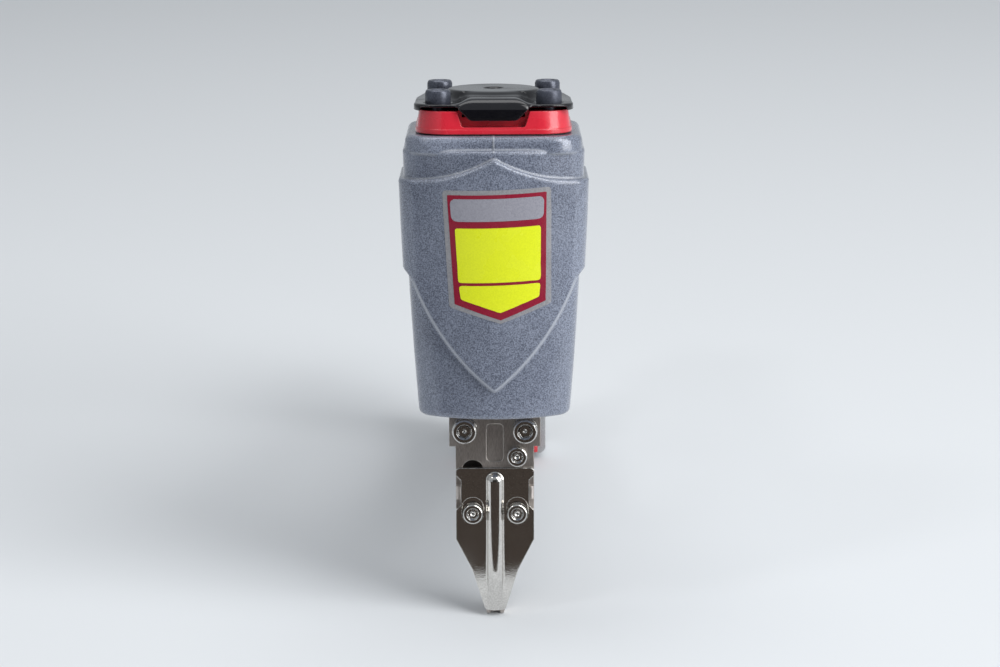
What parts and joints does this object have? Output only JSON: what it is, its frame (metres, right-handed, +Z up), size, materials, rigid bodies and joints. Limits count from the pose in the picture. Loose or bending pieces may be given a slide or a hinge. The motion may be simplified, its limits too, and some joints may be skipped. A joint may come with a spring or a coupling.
{
  "type": "pneumatic nailer",
  "caption": "Compressed-air brad nailer with a cast housing, hollow handle, pointed nose, sprung trigger, sliding magazine and a piston-driven blade.",
  "frame": {"origin": "rear edge of the nose tip, on the surface that the tool stands on", "axes": "+Z up from that surface, +Y back along the handle and magazine, +X to the right as the front is looked at"},
  "size_m": [0.063, 0.2501, 0.1838],
  "materials": {
    "casting_paint": "silver-grey hammertone enamel on cast aluminium",
    "red_plastic": "glossy red moulding",
    "black_plate": "semi-gloss black enamel on pressed steel",
    "black_screw": "black oxide",
    "bright_screw": "bright zinc plate",
    "nickel": "polished nickel plate",
    "tool_steel": "ground tool steel",
    "magazine_metal": "natural anodised extrusion",
    "bracket_metal": "satin die casting",
    "grip_rubber": "matt black grip",
    "seal_rubber": "nitrile",
    "bumper_rubber": "amber polyurethane",
    "gasket_fibre": "fibre gasket",
    "bore_metal": "hard-anodised bore",
    "valve_plastic": "acetal",
    "spring_steel": "spring wire",
    "trigger_plastic": "black moulding",
    "latch_red": "red-dipped steel lever",
    "brass_plug": "turned and nickel-flashed plug",
    "screen_mesh": "sintered screen"
  },
  "bodies": {
    "tool": {"housing": "casting_paint", "hand_grip": "grip_rubber", "cap_gasket": "gasket_fibre", "cap_band": "red_plastic", "cylinder_cap": "black_plate", "cap_screws": "black_screw", "valve_insert": "valve_plastic", "head_valve_spring": "spring_steel", "cylinder_sleeve": "bore_metal", "collar_ring": "seal_rubber", "check_band": "seal_rubber", "bumper": "bumper_rubber", "nose_guide": "tool_steel", "nose_plate": "nickel", "plate_screws": "bright_screw", "mount_screws": "bright_screw", "mount_washers": "bright_screw", "guide_screw": "bright_screw", "magazine_rail": "magazine_metal", "rear_bracket": "bracket_metal", "bracket_screws": "black_screw", "rail_screws": "black_screw", "latch_pin": "bright_screw", "latch_spring": "spring_steel", "trigger_pin": "bright_screw", "pin_clips": "spring_steel", "trigger_valve_body": "valve_plastic", "trigger_valve_spring": "spring_steel", "valve_rings": "seal_rubber", "valve_clip": "spring_steel", "end_cap": "casting_paint", "end_cap_ring": "seal_rubber", "end_cap_screws": "black_screw", "inlet_screen": "screen_mesh", "air_plug": "brass_plug"},
    "trigger": {"trigger": "trigger_plastic"},
    "valve_stem": {"trigger_valve_stem": "bright_screw"},
    "piston": {"piston": "bore_metal", "piston_ring": "seal_rubber", "driver_blade": "tool_steel", "driver_pin": "tool_steel"},
    "head_valve": {"head_valve": "bore_metal", "head_valve_seal": "seal_rubber", "head_valve_ring": "seal_rubber"},
    "cover": {"magazine_cover": "magazine_metal", "cover_pull": "trigger_plastic", "pull_screw": "black_screw"},
    "pusher": {"pusher": "tool_steel", "pusher_spring": "spring_steel"},
    "latch": {"latch_lever": "latch_red"}
  },
  "joints": [
    {"name": "trigger_pull", "type": "hinge", "parent": "tool", "child": "trigger", "pos_m": [0, 0.04598, 0.09838], "axis": [1, 0, 0], "range_deg": [0, 9], "stiffness_Nm_per_rad": 0.3, "springref_deg": -8.59},
    {"name": "valve_stem_lift", "type": "slide", "parent": "tool", "child": "valve_stem", "axis": [0, 0.1233, 0.9924], "range_m": [0, 0.0019], "deforming": ["trigger_valve_spring"]},
    {"name": "piston_stroke", "type": "slide", "parent": "tool", "child": "piston", "axis": [0, -0.1233, -0.9924], "range_m": [0, 0.0589]},
    {"name": "head_valve_lift", "type": "slide", "parent": "tool", "child": "head_valve", "axis": [0, 0.1233, 0.9924], "range_m": [0, 0.004], "stiffness_N_per_m": 2000, "springref_m": -0.004, "deforming": ["head_valve_spring"]},
    {"name": "magazine_slide", "type": "slide", "parent": "tool", "child": "cover", "axis": [0, 0.9924, -0.1233], "range_m": [0, 0.105]},
    {"name": "pusher_feed", "type": "slide", "parent": "cover", "child": "pusher", "axis": [0, 0.9924, -0.1233], "range_m": [0, 0.118], "stiffness_N_per_m": 20, "springref_m": -0.2, "deforming": ["pusher_spring"]},
    {"name": "latch_turn", "type": "hinge", "parent": "tool", "child": "latch", "pos_m": [0, 0.16635, 0.00473], "axis": [1, 0, 0], "range_deg": [-3, 8], "stiffness_Nm_per_rad": 0.05, "deforming": ["latch_spring"]}
  ],
  "couplings": [
    {"joint": "valve_stem_lift", "follows": "trigger_pull", "m_per_rad": 0.012}
  ]
}
